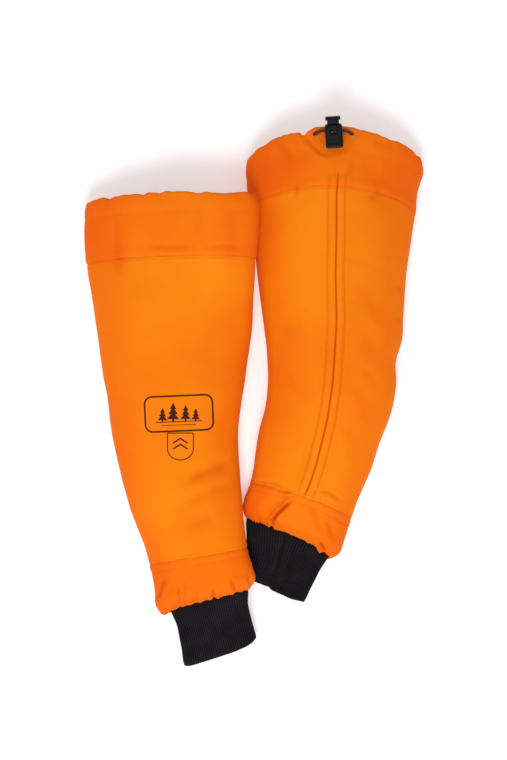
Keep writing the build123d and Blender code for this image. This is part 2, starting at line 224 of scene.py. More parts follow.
# Where the drawcord leaves the hem: middle and the cord's way there, in mm in the CAD frame.
EYELETS = {"left": [
    ((-62.2, 192.6, 27.2), (0.62, 0.15, 0.77)), ((-100.7, 190.8, 18.6), (-0.94, 0.03, 0.34))
], "right": [
    ((101.8, 268.9, 61.0), (0.8, -0.42, -0.43)), ((65.1, 268.6, 60.6), (-0.77, -0.44, -0.46))
]}
EYELET_LONG, EYELET_WIDE = 4.0, 2.9

# ---- print, lock, room and camera
# The print's middle x and y, its turn in degrees, and whether it faces up; then its trees' offset and size.
PRINT = {"left": (-77.9, -24.2, 2.4, True), "right": (89.0, -4.0, -1.5, False)}
FIR_TREES = ((-17, 10, 15), (-6, 13, 20), (7, 11, 17), (17.5, 9, 13))
FILM_LIFT = 0.22
# The lock's own frame: its middle on the cord, and its X, Y (to the plunger) and Z (away from the cloth).
LOCK_FRAME = {
    "left": ((-79.300, 190.885, 18.653), (-0.96893, 0.00245, -0.24732), (-0.03203, 0.99029, 0.13528),
             (0.24525, 0.13900, -0.95944)),
    "right": ((83.488, 271.580, 64.364), (0.99756, 0.06870, 0.01211), (-0.06976, 0.98241, 0.17323),
              (0.0, -0.17365, 0.98481)),
}
SPRING_LOW, SPRING_HIGH, SPRING_MIDDLE = -14.25, -7.35, 7.4
SPRING_RADIUS, SPRING_WIRE, SPRING_TURNS, SPRING_KEEP = 2.2, 0.6, 4.5, 0.43
CAMERA_HEIGHT, LENS, SENSOR = 4.4, 198.0, 36.0
CAMERA_AIM = (0.0005, 0.0129)
TABLE_HALF, TABLE_GLOW, WORLD_LIGHT = 6.0, 0.34, 0.63
WAVE_SCALE = 0.314      # a wave texture's scale times its pitch in metres


# ---- small maths
def smooth(x):
    x = np.clip(x, 0.0, 1.0)
    return x * x * (3 - 2 * x)


def hump(x, middle, wide):
    """1 at the middle, fading out over a few widths."""
    return np.exp(-((x - middle) / wide) ** 2)


def within(share, fade):
    """1 along a route, fading to 0 at both of its ends."""
    return smooth(share / fade) * smooth((1 - share) / fade)


def unit(ways):
    return ways / np.maximum(np.linalg.norm(ways, axis=-1, keepdims=True), 1e-9)


def sideways(ways):
    """Directions seen from above, turned left by 90 degrees."""
    return np.stack([-ways[:, 1], ways[:, 0]], axis=1)


def distances(line):
    """How far along a line each of its points lies."""
    return np.concatenate([[0], np.cumsum(np.linalg.norm(np.diff(line, axis=0), axis=1))])


def points_at(line, spots):
    """Points of a line at the given distances along it."""
    at = distances(line)
    return np.stack([np.interp(spots, at, column) for column in line.T], axis=1)


def noise_at(points, scale, seed):
    """Perlin noise from -1 to 1 at each point, with features about scale long."""
    flat = np.asarray(points).reshape(-1, 3) / scale + seed * 17.31
    values = [noise.noise(Vector(p)) for p in flat]
    return np.array(values).reshape(np.asarray(points).shape[:-1])


# ---- points on the sleeves
def stations_of(rows):
    """How far along the sleeve each row of a table lies."""
    return distances(np.array(rows, float)[:, :2])


def sections_at(rows, spots):
    """Smooth sections between a table's rows, at the given distances along them."""
    rows, at = np.array(rows, float), stations_of(rows)
    slopes = np.gradient(rows, at, axis=0)
    k = np.clip(np.searchsorted(at, spots, side="right") - 1, 0, len(at) - 2)
    wide = (at[k + 1] - at[k])[:, None]
    x = (spots - at[k])[:, None] / wide
    start, end = rows[k], rows[k + 1]
    curve = (2 * x**3 - 3 * x**2 + 1) * start + (x**3 - 2 * x**2 + x) * wide * slopes[k]
    curve += (3 * x**2 - 2 * x**3) * end + (x**3 - x**2) * wide * slopes[k + 1]
    return curve


def ring(row, shares, inset=0.0):
    """Points round one section. Share 0 is its top middle, +-0.5 its underside's middle."""
    x, y, half, height, side, heading, tilt, roll, lift = row
    h, t, r = radians(heading), radians(tilt), radians(roll)
    along, across = np.array([sin(h), -cos(h), 0]), np.array([cos(h), sin(h), 0])
    origin = np.array([x, y, lift]) + along * side * tan(t)
    up = -along * sin(t) + np.array([0, 0, cos(t)])
    side, height = side / cos(t), height / cos(t)
    flat = (half - side) / cos(r)
    crown = (flat**2 + height**2 - 2 * height * side) / (2 * (height - 2 * side))
    lean = np.arctan2(flat, crown - height + side)
    f, sign = np.abs(shares), np.sign(shares)
    over = lean * np.clip(f / CROWN_SHARE, 0, 1)
    round_it = lean + (pi - lean) * np.clip((f - CROWN_SHARE) / (SIDE_SHARE - CROWN_SHARE), 0, 1)
    under = np.clip((f - SIDE_SHARE) / (0.5 - SIDE_SHARE), 0, 1)
    u = np.where(f < CROWN_SHARE, (crown - inset) * np.sin(over), flat + (side - inset) * np.sin(round_it))
    v = np.where(f < CROWN_SHARE, height - crown + (crown - inset) * np.cos(over),
                 side + (side - inset) * np.cos(round_it))
    u = np.where(f > SIDE_SHARE, flat * (1 - under), u) * sign
    v = np.where(f > SIDE_SHARE, inset, v)
    a, b = u + flat, v - side
    u, v = a * cos(r) - b * sin(r) - flat, a * sin(r) + b * cos(r) + side
    return origin + u[:, None] * across + v[:, None] * up


def crowded(x, dense, middle=0.0):
    """Even numbers 0 to 1 (or -0.5 to 0.5), closer together near middle by the share dense."""
    return x - dense / (2 * pi) * (np.sin(2 * pi * (x - middle)) + np.sin(2 * pi * middle))


def grid_of(rows, around, inset=0.0, dense=0.0, middle=0.0):
    """(around, along, 3) points on the sleeve."""
    shares = crowded(np.linspace(-0.5, 0.5, around, endpoint=False), dense, middle)
    shares = np.where(np.abs(shares) < 1e-9, 1e-9, shares)
    return np.stack([ring(row, shares, inset) for row in rows], axis=1)


def closed_ring(grid, j):
    return np.vstack([grid[:, j], grid[:1, j]])


def ring_length(grid, j):
    return float(distances(closed_ring(grid, j))[-1])


def normals_of(grid):
    """Outward normals of a grid that closes round its first axis."""
    round_it = np.roll(grid, -1, axis=0) - np.roll(grid, 1, axis=0)
    n = unit(np.cross(np.gradient(grid, axis=1), round_it))
    middle = grid.mean(axis=0, keepdims=True)
    return np.where(((grid - middle) * n).sum(axis=2, keepdims=True).mean() < 0, -n, n)


def to_path(points, route):
    """Each point's distance to a route seen from above, the same with its side, and the share of the route."""
    route = np.array(route, float)
    at = distances(route)
    legs, total = np.diff(at), at[-1]
    best = np.full(points.shape[:-1], 1e9)
    signed, share = np.zeros_like(best), np.zeros_like(best)
    for k, (a, b) in enumerate(zip(route, route[1:])):
        way = (b - a) / legs[k]
        off = points[..., :2] - a
        run = np.clip(off @ way, 0, legs[k])
        far = np.linalg.norm(off - run[..., None] * way, axis=-1)
        cross = way[0] * off[..., 1] - way[1] * off[..., 0]
        closer = far < best
        best = np.where(closer, far, best)
        signed = np.where(closer, np.sign(cross) * far, signed)
        share = np.where(closer, (at[k] + run) / total, share)
    return best, signed, share


# ---- what moves the cloth
def fold_field(points, facing, folds):
    """Sum of the folds' depths at each point, and how much painted crease shade it gets by how deep in a
    crease it is, for cloth facing up.
    """
    total, crease_shade = np.zeros(points.shape[:-1]), np.zeros(points.shape[:-1])
    for route, depth, wide, stand in folds:
        far, _, share = to_path(points, route)
        taper = within(share, 0.3) * 0.85 + 0.15
        total += taper * depth * (stand * hump(far, 1.9 * wide, wide) - hump(far, 0, wide))
        crease_shade += taper * hump(far, 0, wide / 1.6) * depth / (wide + 1.5)
    shown = smooth((facing + 0.1) / 0.6)
    return total * shown, np.clip(crease_shade, 0, 1) * shown


def seam_field(points, facing, route):
    """The centre back seam: a sharp valley between two soft topstitched ridges, with painted shade along the
    valley and the topstitch lines.
    """
    far, _, share = to_path(points, route)
    shape = -1.9 * hump(far, 0, 0.75) + 1.0 * hump(far, 4.4, 3.0)
    shape += 0.4 * hump(far, 12.0, 2.4) - 0.8 * hump(far, STITCH_SIDE, 1.2)
    crease_shade = 0.8 * hump(far, 0, 0.62) + 0.2 * hump(far, STITCH_SIDE, 1.0)
    shown = within(share, 0.03) * smooth((facing + 0.1) / 0.6)
    return shape * shown, crease_shade * shown


def eyelet_field(grid, name):
    """The two holes in the hem where the drawcord comes out, with painted shade in them."""
    moved, crease_shade = np.zeros(grid.shape[:-1]), np.zeros(grid.shape[:-1])
    for spot, _ in EYELETS[name]:
        far = np.linalg.norm(grid - (np.array(spot) - PAIR_SHIFT), axis=-1)
        moved -= 1.6 * np.exp(-(far / 2.6) ** 4)
        crease_shade += np.exp(-(far / 2.4) ** 4)
    return moved, crease_shade


def puckers(grid, facing, route, seed):
    """Short crossways ripples where the stitching draws the cloth in along the back seam."""
    far, _, share = to_path(grid, route)
    along = np.stack([share * 300, far * 0.25, np.zeros_like(far)], axis=-1)
    near = hump(far, 5.5, 6.5) * within(share, 0.02)
    return 0.55 * noise_at(along, 5.5, seed + 13) * near * smooth(facing / 0.5)


def gathers(grid, spots, end, reach, depth, pitch, seed):
    """Small folds that run away from a drawn-in end and fade within reach."""
    at = distances(closed_ring(grid, 0 if end == "start" else -1))
    s, circle = at[:-1], at[-1] / (2 * pi)
    wheel = np.stack([np.cos(s / circle), np.sin(s / circle), np.zeros_like(s)], axis=1) * circle
    fine = noise_at(wheel, pitch, seed)
    wide = noise_at(wheel, pitch * 2.6, seed + 5)
    shape = 0.7 * (0.5 - 2.2 * np.abs(fine)) + 0.6 * wide
    away = spots - spots[0] if end == "start" else spots[-1] - spots
    return depth * shape[:, None] * np.exp(-away / reach)[None, :]


def soft_field(grid, n, spots, name, seed, gather):
    """Everything that moves the cloth in or out, in mm, and its painted crease shade, at each point of the
    grid.
    """
    facing = n[..., 2]
    moved, crease_shade = fold_field(grid, facing, FOLDS[name])
    turned = facing if BACK_UP[name] else -facing
    for field in (seam_field(grid, turned, BACK_SEAM[name]), eyelet_field(grid, name)):
        moved += field[0]
        crease_shade += field[1]
    moved += 2.0 * noise_at(grid, 62.0, seed) + 0.6 * noise_at(grid, 23.0, seed + 1)
    for middle, depth, wide in DENTS[name]:
        moved -= depth * np.exp(-((grid[..., :2] - middle) ** 2).sum(axis=-1) / wide**2)
    moved *= 1 - 0.75 * smooth(-facing / 0.8)
    moved += puckers(grid, turned, BACK_SEAM[name], seed)
    for end, reach, depth, pitch in gather:
        moved += gathers(grid, spots, end, reach, depth, pitch, seed + 3)
    return moved, np.clip(crease_shade, 0, 1)


def seam_tuck(spots, start, end, depth, wide):
    """Cloth sinks into the seam at each stitched end. The same shape also sets painted shade in those seams.
    """
    tuck = start * hump(spots, spots[0], wide) + end * hump(spots, spots[-1], wide)
    return -depth * tuck[None, :]


def reach_on(outer, spots, table, fade):
    """Slide the last rings further along the arm by the table's amount, fading out up the sleeve."""
    way = unit(outer[:, -1] - outer[:, -4])
    far = np.interp(outer[:, -1, 0], *np.array(table, float).T)
    outer += (way * far[:, None])[:, None, :] * np.exp(-(spots[-1] - spots) / fade)[None, :, None]


def pinch(grid, facing, route, pull, wide):
    """Draw the cloth sideways into a crease, so that its lines run together there."""
    far, signed, share = to_path(grid, route)
    side = sideways(unit(np.array([route[-1]], float) - route[0]))[0]
    near = np.exp(-0.5 * (far / wide) ** 2) * smooth(share / 0.5) * smooth(facing / 0.5)
    grid[..., :2] -= (signed / wide * near * pull)[..., None] * side


def painted_side_shade(grid, name):
    """Painted shade: 0 along the middle of the sleeve to 1 along its two sides, with the table's patches of
    painted shade added.
    """
    off = np.abs(grid[..., 0] - grid[..., 0].mean(axis=0, keepdims=True))
    across = off / off.max(axis=0, keepdims=True) + 0.13 * noise_at(grid, 34.0, 61)
    side_shade = smooth((across - 0.35) / 0.62) + MIDDLE_TONE[name]
    for route, strength, wide in SHADE_PATCHES[name]:
        far, _, share = to_path(grid, route)
        side_shade += strength * hump(far, 0, wide) * within(share, 0.25)
    return np.clip(side_shade, 0, 1)


# ---- mesh helpers
def linked(obj):
    bpy.context.scene.collection.objects.link(obj)
    return obj


def new_object(name, form, surface, body):
    """A smooth object from its vertices and faces, on its body and in its slot."""
    vertices, faces = form
    mesh = bpy.data.meshes.new(name)
    mesh.from_pydata([tuple(v) for v in vertices], [], faces)
    mesh.validate()
    mesh.polygons.foreach_set("use_smooth", [True] * len(mesh.polygons))
    mesh.materials.append(surface)
    mesh.update()
    obj = linked(bpy.data.objects.new(name, mesh))
    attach(obj, body)
    return obj


def cloth_piece(name, label, form, slot, node_name):
    """A piece of one sleeve that stands for a CAD node."""
    obj = new_object(f"{name}_{label}", form, SURFACES[slot], f"{name}_sleeve")
    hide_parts(f"{name}_{node_name}")
    return obj


def loop_faces(around, rings, closed=True, start=0):
    """Quads between rings of points, stored ring after ring; closed joins the last to the first."""
    faces = []
    for j in range(rings if closed else rings - 1):
        a, b = start + j * around, start + (j + 1) % rings * around
        for i in range(around):
            k = (i + 1) % around
            faces.append((a + i, a + k, b + k, b + i))
    return faces


def rod_faces(around, rings, start=0):
    """Quads between rings of points, with a flat face at each end."""
    last = start + (rings - 1) * around
    return loop_faces(around, rings, False, start) + [tuple(start + k for k in reversed(range(around))),
                                                      tuple(last + k for k in range(around))]


def hollow_tube(outer, inner, start_round, end_round):
    """A closed wall: the outer grid, a rounded or square end, and back along the inside."""
    along = unit(np.gradient(outer, axis=1))
    count = outer.shape[1]
    rings = [outer[:, j] for j in range(count)]
    rings += end_rings(outer[:, -1], inner[:, -1], along[:, -1], end_round * MM)
    rings += [inner[:, j] for j in reversed(range(count))]
    rings += end_rings(inner[:, 0], outer[:, 0], -along[:, 0], start_round * MM)
    return np.concatenate(rings), loop_faces(outer.shape[0], len(rings))


def end_rings(first, last, out, bulge, steps=5):
    """Rings that turn the cloth's edge over, standing out by bulge at the middle."""
    if bulge <= 0:
        return []
    turns = [k * pi / (steps + 1) for k in range(1, steps + 1)]
    return [first + (last - first) * (1 - cos(a)) / 2 + out * bulge * sin(a) for a in turns]


def in_frame(points):
    """Millimetre table points to metres in the frame."""
    return (points + PAIR_SHIFT) * MM


def on_table(points, above=0.0):
    """The same, resting at least so far above the floor."""
    moved = in_frame(points)
    moved[..., 2] = np.maximum(moved[..., 2], (FLOOR_GAP + above) * MM)
    return moved


def walled(outer, n, wall, start_round=0, end_round=0):
    """A tube of cloth whose inside lies a wall's thickness under its outer grid."""
    return hollow_tube(on_table(outer), on_table(outer - n * wall, wall), start_round, end_round)


def store(obj, name, values):
    """Keep a value for each point of the outer grid on the mesh; the other rings get its edge's value."""
    around, long = values.shape
    rings = len(obj.data.vertices) // around
    out_and_in = (rings - 2 * long) // 2
    columns = [*values.T, *[values[:, -1]] * out_and_in, *values.T[::-1]]
    columns += [values[:, 0]] * (rings - len(columns))
    obj.data.attributes.new(name, "FLOAT", "POINT").data.foreach_set("value", np.concatenate(columns))


def shade_cloth(obj, name, grid, crease_shade):
    # Painted shade: a redder tint along the sleeve's sides and in patches, and a darker one in creases.
    store(obj, "side", painted_side_shade(grid, name))
    store(obj, "crease_shade", np.clip(crease_shade, 0, 1))


# ---- materials
class Surface:
    """A procedural material in the object's own coordinates. Plain values go on the shader's sockets."""

    def __init__(self, name, **values):
        self.material = bpy.data.materials.new(name)
        self.material.use_nodes = True
        tree = self.material.node_tree
        self.nodes, self.link = tree.nodes, tree.links.new
        self.inputs = self.nodes["Principled BSDF"].inputs
        for key, value in values.items():
            self.inputs[key.replace("_", " ")].default_value = value
        self.where = self.node("TexCoord").outputs["Object"]

    def node(self, kind, feeds=(), **values):
        """A new node with some of its values set and some of its inputs fed."""
        n = self.nodes.new("ShaderNode" + kind)
        for key, value in values.items():
            if key.replace("_", " ") in n.inputs:
                n.inputs[key.replace("_", " ")].default_value = value
            else:
                setattr(n, key, value)
        for key, source in dict(feeds).items():
            self.link(source, n.inputs[key])
        return n

    def clouds(self, scale, detail, **values):
        n = self.node("TexNoise", {"Vector": self.where}, Scale=scale, Detail=detail, **values)
        return n.outputs["Fac"]

    def waves(self, direction, pitch, distortion, **values):
        """Bands a pitch (in m) apart."""
        n = self.node("TexWave", {"Vector": self.where}, bands_direction=direction,
                      Scale=WAVE_SCALE / pitch, Distortion=distortion, **values)
        return n.outputs["Fac"]

    def joined(self, operation, first, second):
        return self.node("Math", {0: first, 1: second}, operation=operation).outputs[0]

    def bump(self, height, strength, distance):
        """Relief, over any that is there already."""
        n = self.node("Bump", {"Height": height}, Strength=strength, Distance=distance)
        if self.inputs["Normal"].links:
            self.link(self.inputs["Normal"].links[0].from_socket, n.inputs["Normal"])
        self.link(n.outputs["Normal"], self.inputs["Normal"])

    def weave(self, pitch, strength, soft_scale, soft_strength):
        """Crossed threads at the cloth's own pitch, over soft puckers."""
        self.bump(self.clouds(soft_scale, 3.0), soft_strength, 0.0012)
        cross = self.joined("MAXIMUM", *(self.waves(way, pitch, 0.6, Detail=1.0) for way in ("X", "Y")))
        self.bump(cross, strength, pitch * 0.5)
        return cross

    def colours(self, colours, scale, low=0.35, high=0.65):
        """The base colour wanders between the given ones."""
        ramp = self.node("ValToRGB", {"Fac": self.clouds(scale, 4.0, Roughness=0.55)})
        stops = ramp.color_ramp.elements
        stops[0].position, stops[1].position = low, high
        stops[0].color, stops[1].color = (*colours[0], 1), (*colours[-1], 1)
        for k, colour in enumerate(colours[1:-1], 1):
            stop = stops.new(low + (high - low) * k / (len(colours) - 1))
            stop.color = (*colour, 1)
        self.link(ramp.outputs["Color"], self.inputs["Base Color"])

    def multiplied(self, feeds, **values):
        """The base colour times B, by Factor; each is fed or given."""
        mix = self.node("Mix", data_type="RGBA", blend_type="MULTIPLY")
        for key, value in values.items():
            mix.inputs[key].default_value = value
        for key, source in {"A": self.inputs["Base Color"].links[0].from_socket, **feeds}.items():
            self.link(source, mix.inputs[key])
        self.link(mix.outputs["Result"], self.inputs["Base Color"])

    def darker_gaps(self, cross, low, share):
        """The gaps between threads are a little darker than the threads."""
        shade = self.node("MapRange", {"Value": cross}, To_Min=low, To_Max=1.0)
        self.multiplied({"B": shade.outputs["Result"]}, Factor=share)

    def tinted(self, attribute, tint):
        """The base colour takes a tint where the mesh's attribute is 1."""
        where = self.node("Attribute", attribute_name=attribute)
        self.multiplied({"Factor": where.outputs["Fac"]}, B=(*tint, 1))


def hi_vis_cloth(name, colours, scale):
    s = Surface(name, Roughness=0.72, Specular_IOR_Level=0.08, Sheen_Weight=0.06, Sheen_Roughness=0.45,
                Sheen_Tint=(1.0, 0.55, 0.25, 1))
    cross = s.weave(0.00055, 0.25, 38.0, 0.35)
    s.colours(colours, scale)
    s.darker_gaps(cross, 0.86, 0.6)
    # Painted shade: redder along the sleeve's sides and in patches where it turns away.
    s.tinted("side", (0.96, 0.76, 0.7))
    # Painted shade: darker and redder in creases, in the seam's valley and in the eyelet holes.
    s.tinted("crease_shade", (0.62, 0.30, 0.3))
    return s.material


def knit(name):
    s = Surface(name, Roughness=0.9, Specular_IOR_Level=0.15, Sheen_Weight=0.05)
    loops = s.waves("Y", 0.0013, 3.0, Detail_Scale=2.0)
    s.bump(s.joined("ADD", loops, s.clouds(900.0, 3.0)), 0.5, 0.0005)
    s.colours([(0.0028, 0.0018, 0.0026), (0.0056, 0.0038, 0.0054)], 60.0)
    # Painted highlight on the rib crests, with painted shade in the fold's crease and beyond it.
    s.tinted("rib_highlight", (3.3, 3.0, 3.3))
    return s.material


def plain_cloth(name, colours, pitch, scale, roughness=0.85):
    s = Surface(name, Roughness=roughness, Specular_IOR_Level=0.2)
    cross = s.weave(pitch, 0.4, 60.0, 0.3)
    s.colours(colours, scale)
    s.darker_gaps(cross, 0.6, 0.7)
    return s.material


def moulded_plastic(name, colours, roughness):
    """Black acetal: fine moulded grain, with duller worn patches."""
    s = Surface(name, Specular_IOR_Level=0.06, Coat_Weight=0.14, Coat_Roughness=0.12)
    s.bump(s.clouds(1500.0, 2.0), 0.08, 0.0001)
    s.colours(colours, 260.0)
    wear = s.clouds(420.0, 3.0)
    rough = s.node("MapRange", {"Value": wear}, To_Min=roughness - 0.04, To_Max=roughness + 0.06)
    s.link(rough.outputs["Result"], s.inputs["Roughness"])
    return s.material


def drawn_steel(name):
    s = Surface(name, Metallic=1.0, Roughness=0.3)
    s.colours([(0.40, 0.40, 0.41), (0.62, 0.62, 0.63)], 500.0)
    return s.material


def braid(name):
    s = Surface(name, Roughness=0.6)
    s.bump(s.waves("DIAGONAL", 0.0011, 1.5), 0.8, 0.0004)
    s.colours([(0.008, 0.0075, 0.009), (0.03, 0.028, 0.032)], 700.0)
    return s.material


def ink(name):
    """Printed film: dark maroon, slightly uneven where the cloth's threads show."""
    s = Surface(name, Roughness=0.7, Specular_IOR_Level=0.08)
    s.colours([(0.028, 0.006, 0.006), (0.085, 0.014, 0.008)], 900.0, 0.3, 0.7)
    return s.material


SHELL_ORANGE = [(0.885, 0.187, 0.001), (0.895, 0.214, 0.0015), (0.905, 0.241, 0.002)]
HEM_ORANGE = [(0.87, 0.146, 0.0008), (0.88, 0.166, 0.001), (0.89, 0.186, 0.0014)]
BAND_ORANGE = [(0.88, 0.156, 0.0008), (0.89, 0.178, 0.0012), (0.90, 0.200, 0.0016)]
LINING_GREY = [(0.012, 0.012, 0.014), (0.022, 0.022, 0.025)]
FIBRE_CREAM = [(0.62, 0.58, 0.48), (0.80, 0.77, 0.68)]
SURFACES = {
    "hi_vis_cloth": hi_vis_cloth("hi_vis_cloth", SHELL_ORANGE, 7.0),
    "hem_cloth": hi_vis_cloth("hem_cloth", HEM_ORANGE, 9.0),
    "band_cloth": hi_vis_cloth("band_cloth", BAND_ORANGE, 9.0),
    "rib_knit": knit("rib_knit"),
    "lining_cloth": plain_cloth("lining_cloth", LINING_GREY, 0.0008, 20.0),
    "cut_stopping_fibre": plain_cloth("cut_stopping_fibre", FIBRE_CREAM, 0.0022, 45.0, 0.95),
}
LOCK = moulded_plastic("lock_plastic", [(0.0014, 0.0012, 0.0014), (0.003, 0.0026, 0.003)], 0.24)
PLUNGER = moulded_plastic("plunger_plastic", [(0.002, 0.0018, 0.002), (0.004, 0.0036, 0.004)], 0.3)
STEEL = drawn_steel("spring_steel")
BRAID = braid("drawcord_braid")
INK = ink("print_ink")
THREAD = plain_cloth("sewing_thread", [(0.86, 0.150, 0.002), (0.92, 0.215, 0.004)], 0.0004, 300.0, 0.6)


# ---- the sleeves
def part_of(name, first, last, count, trim=0.0):
    """Sections between two rows of the sleeve's table, and their distances along it."""
    rows = SLEEVE[name]
    at = stations_of(rows)
    low, high = at[first] + trim, at[last]
    spots = low + (high - low) * crowded(np.linspace(0, 1, count), END_CROWDING)
    return sections_at(rows, spots), spots


def seam_middle(name):
    return 0.0 if BACK_UP[name] else 0.5


def outer_shell(name, seed):
    rows, spots = part_of(name, *SEAMS[name], SHELL_GRID[1])
    grid = grid_of(rows, SHELL_GRID[0], dense=SHELL_CROWDING, middle=seam_middle(name))
    n = normals_of(grid)
    moved, crease_shade = soft_field(grid, n, spots, name, seed, SHELL_GATHERS)
    moved += seam_tuck(spots, 1, 1, 0.6, 1.7)
    # Painted shade where the cloth sinks into its seams.
    crease_shade -= seam_tuck(spots, 1, 1, 0.06, 1.2)
    form = walled(grid + n * moved[..., None], n, SHELL_WALL)
    obj = cloth_piece(name, "outer_shell_cloth", form, "hi_vis_cloth", "outer_shell")
    shade_cloth(obj, name, grid, crease_shade)
    return obj


def upper_band(name, seed):
    rows, spots = part_of(name, 0, SEAMS[name][0], HEM_GRID[1], RIM_TRIM)
    grid = grid_of(rows, HEM_GRID[0], dense=HEM_CROWDING, middle=seam_middle(name))
    n = normals_of(grid)
    moved, crease_shade = soft_field(grid, n, spots, name, seed, HEM_GATHERS)
    # Painted shade where the cloth sinks into its seam.
    crease_shade -= seam_tuck(spots, 0, 1, 0.08, 1.2)
    channel = spots - spots[0]
    moved += (0.6 * hump(channel, 7, 6.5) - 0.3 * hump(channel, 17, 3.2))[None, :]
    moved += seam_tuck(spots, 0, 1, 0.8, 1.6)
    moved += 0.6 * hump(spots[-1] - spots, 5, 5)[None, :]
    moved = np.where((channel < CHANNEL_REACH)[None, :], np.maximum(moved, -1.0), moved)
    from_lock = np.linalg.norm(grid - np.array(LOCK_FRAME[name][0]) + PAIR_SHIFT, axis=-1)
    moved -= smooth((LOCK_REACH - from_lock) / 8) * np.maximum(moved + 0.4, 0)
    outer = grid + n * moved[..., None]
    inner = grid + n * (0.3 * moved - HEM_WALL)[..., None]
    rim = outer[:, 0]
    ripple = 1.7 * noise_at(rim, 21.0, seed + 8) + 0.9 * noise_at(rim, 8.0, seed + 9)
    ripple = np.maximum(ripple - np.interp(rim[:, 0], *np.array(RIM_DROP[name], float).T), -RIM_LOWEST)
    slide = np.exp(-channel / 16)[None, :] * ripple[:, None] * (0.15 + 0.85 * smooth(n[..., 2] / 0.3))
    outer[..., 1] += slide
    inner[..., 1] += slide
    form = hollow_tube(on_table(outer), on_table(inner, HEM_WALL), HEM_WALL * 0.45, 0.8)
    obj = cloth_piece(name, "upper_band_cloth", form, "hem_cloth", "upper_band")
    shade_cloth(obj, name, grid, crease_shade)
    return obj


def lower_band(name, seed):
    rows, spots = part_of(name, SEAMS[name][1], -1, BAND_GRID[1])
    grid = grid_of(rows, BAND_GRID[0])
    n = normals_of(grid)
    moved, crease_shade = soft_field(grid, n, spots, name, seed, BAND_GATHERS)
    moved += seam_tuck(spots, 1, 0, 0.6, 1.6)
    # Painted shade where the cloth sinks into its seam.
    crease_shade -= seam_tuck(spots, 1, 0, 0.07, 1.2)
    ridge = spots - spots[0]
    rise = 0.28 * hump(ridge, 4, 2.4) - 0.4 * hump(ridge, 8.3, 1.3)
    moved += rise[None, :] * (0.75 + 0.8 * noise_at(grid[:, 0], 24.0, seed + 6))[:, None]
    outer = grid + n * moved[..., None]
    reach_on(outer, spots, BAND_REACH[name], 9)
    form = walled(outer, n, BAND_WALL, 0.5, 1.4)
    obj = cloth_piece(name, "lower_band_cloth", form, "band_cloth", "lower_band")
    shade_cloth(obj, name, grid, crease_shade)
    return obj


def even_round(grid):
    """The same rings, with their points spread evenly round them."""
    loops = [closed_ring(grid, j) for j in range(grid.shape[1])]
    return np.stack([points_at(loop, np.linspace(0, distances(loop)[-1], len(grid), endpoint=False))
                     for loop in loops], axis=1)


def knit_cuff(name, seed):
    table, folds = CUFF[name], CUFF_FOLDS[name]
    spots = np.linspace(0, stations_of(table)[-1], CUFF_RINGS)
    rows = sections_at(table, spots)
    around = RIB_POINTS * round(ring_length(grid_of(rows[-2:-1], 200), 0) / RIB_PITCH)
    grid = even_round(grid_of(rows, around))
    reach_on(grid, spots, CUFF_REACH[name], 8)
    n = normals_of(grid)
    pinch(grid, n[..., 2], folds[0][0], CUFF_PINCH[name], 9)
    folded, crease_shade = fold_field(grid, n[..., 2], folds)
    folded += 0.5 * noise_at(grid, 16.0, seed)
    wave = np.cos(np.arange(around) * 2 * pi / RIB_POINTS)
    ribs = RIB_DEPTH * np.sign(wave) * np.abs(wave) ** 0.6
    edge = spots[-1] - spots
    moved = folded + ribs[:, None] * (0.55 + 0.45 * smooth(edge / 8))[None, :]
    moved += 0.5 * hump(edge, 3, 4)[None, :]
    inner = on_table(grid + n * (folded - CUFF_WALL)[..., None], CUFF_WALL)
    form = hollow_tube(on_table(grid + n * moved[..., None]), inner, 0, CUFF_WALL * 0.5)
    obj = cloth_piece(name, "knit_cuff_ribs", form, "rib_knit", "knit_cuff")
    # Painted light on the ribs: crests lighter, darker in the fold's crease, and dimmer beyond the fold.
    beyond = to_path(grid, folds[0][0])[1]
    crest_highlight = (0.5 + 0.5 * wave)[:, None]
    store(obj, "rib_highlight", crest_highlight * (1 - 0.9 * crease_shade) * (1 - CUFF_DIM[name] * smooth(beyond / 5)))


def inner_tube(name, label, inset, wall, surface, seed, node_name, open_back):
    """A lining or fibre layer inside the sleeve, following its large folds only."""
    rows, spots = part_of(name, *SEAMS[name], LAYER_GRID[1])
    grid = grid_of(rows, LAYER_GRID[0], inset)
    n = normals_of(grid)
    moved = 1.2 * noise_at(grid, 62.0, seed) + 0.5 * noise_at(grid, 14.0, seed + 2)
    outer = grid + n * (moved - 0.6)[..., None]
    outer[..., 2] = np.maximum(outer[..., 2], inset * 0.9)
    if open_back:
        form = open_layer(in_frame(outer), wall * MM, BACK_UP[name])
    else:
        form = hollow_tube(in_frame(outer), in_frame(outer - n * wall), 0, 0)
    obj = cloth_piece(name, label, form, surface, node_name)


def open_layer(outer, wall, back_up):
    """A layer that wraps the arm and stops short of the centre back on each side."""
    count = outer.shape[0]
    start = count // 2 if back_up else 0
    order = [(start + k) % count for k in range(LAYER_GAP, count - LAYER_GAP + 1)]
    top, low = outer[order], (outer - normals_of(outer) * wall)[order]
    wide, long = top.shape[:2]

    def at(side, i, j):
        return side * wide * long + i * long + j

    faces = []
    for i in range(wide - 1):
        for j in range(long - 1):
            faces.append((at(0, i, j), at(0, i, j + 1), at(0, i + 1, j + 1), at(0, i + 1, j)))
            faces.append((at(1, i, j), at(1, i + 1, j), at(1, i + 1, j + 1), at(1, i, j + 1)))
    for i in range(wide - 1):
        for j, a, b in ((0, i, i + 1), (long - 1, i + 1, i)):
            faces.append((at(0, a, j), at(0, b, j), at(1, b, j), at(1, a, j)))
    for j in range(long - 1):
        for i, a, b in ((0, j + 1, j), (wide - 1, j, j + 1)):
            faces.append((at(0, i, a), at(0, i, b), at(1, i, b), at(1, i, a)))
    return np.concatenate([top.reshape(-1, 3), low.reshape(-1, 3)]), faces


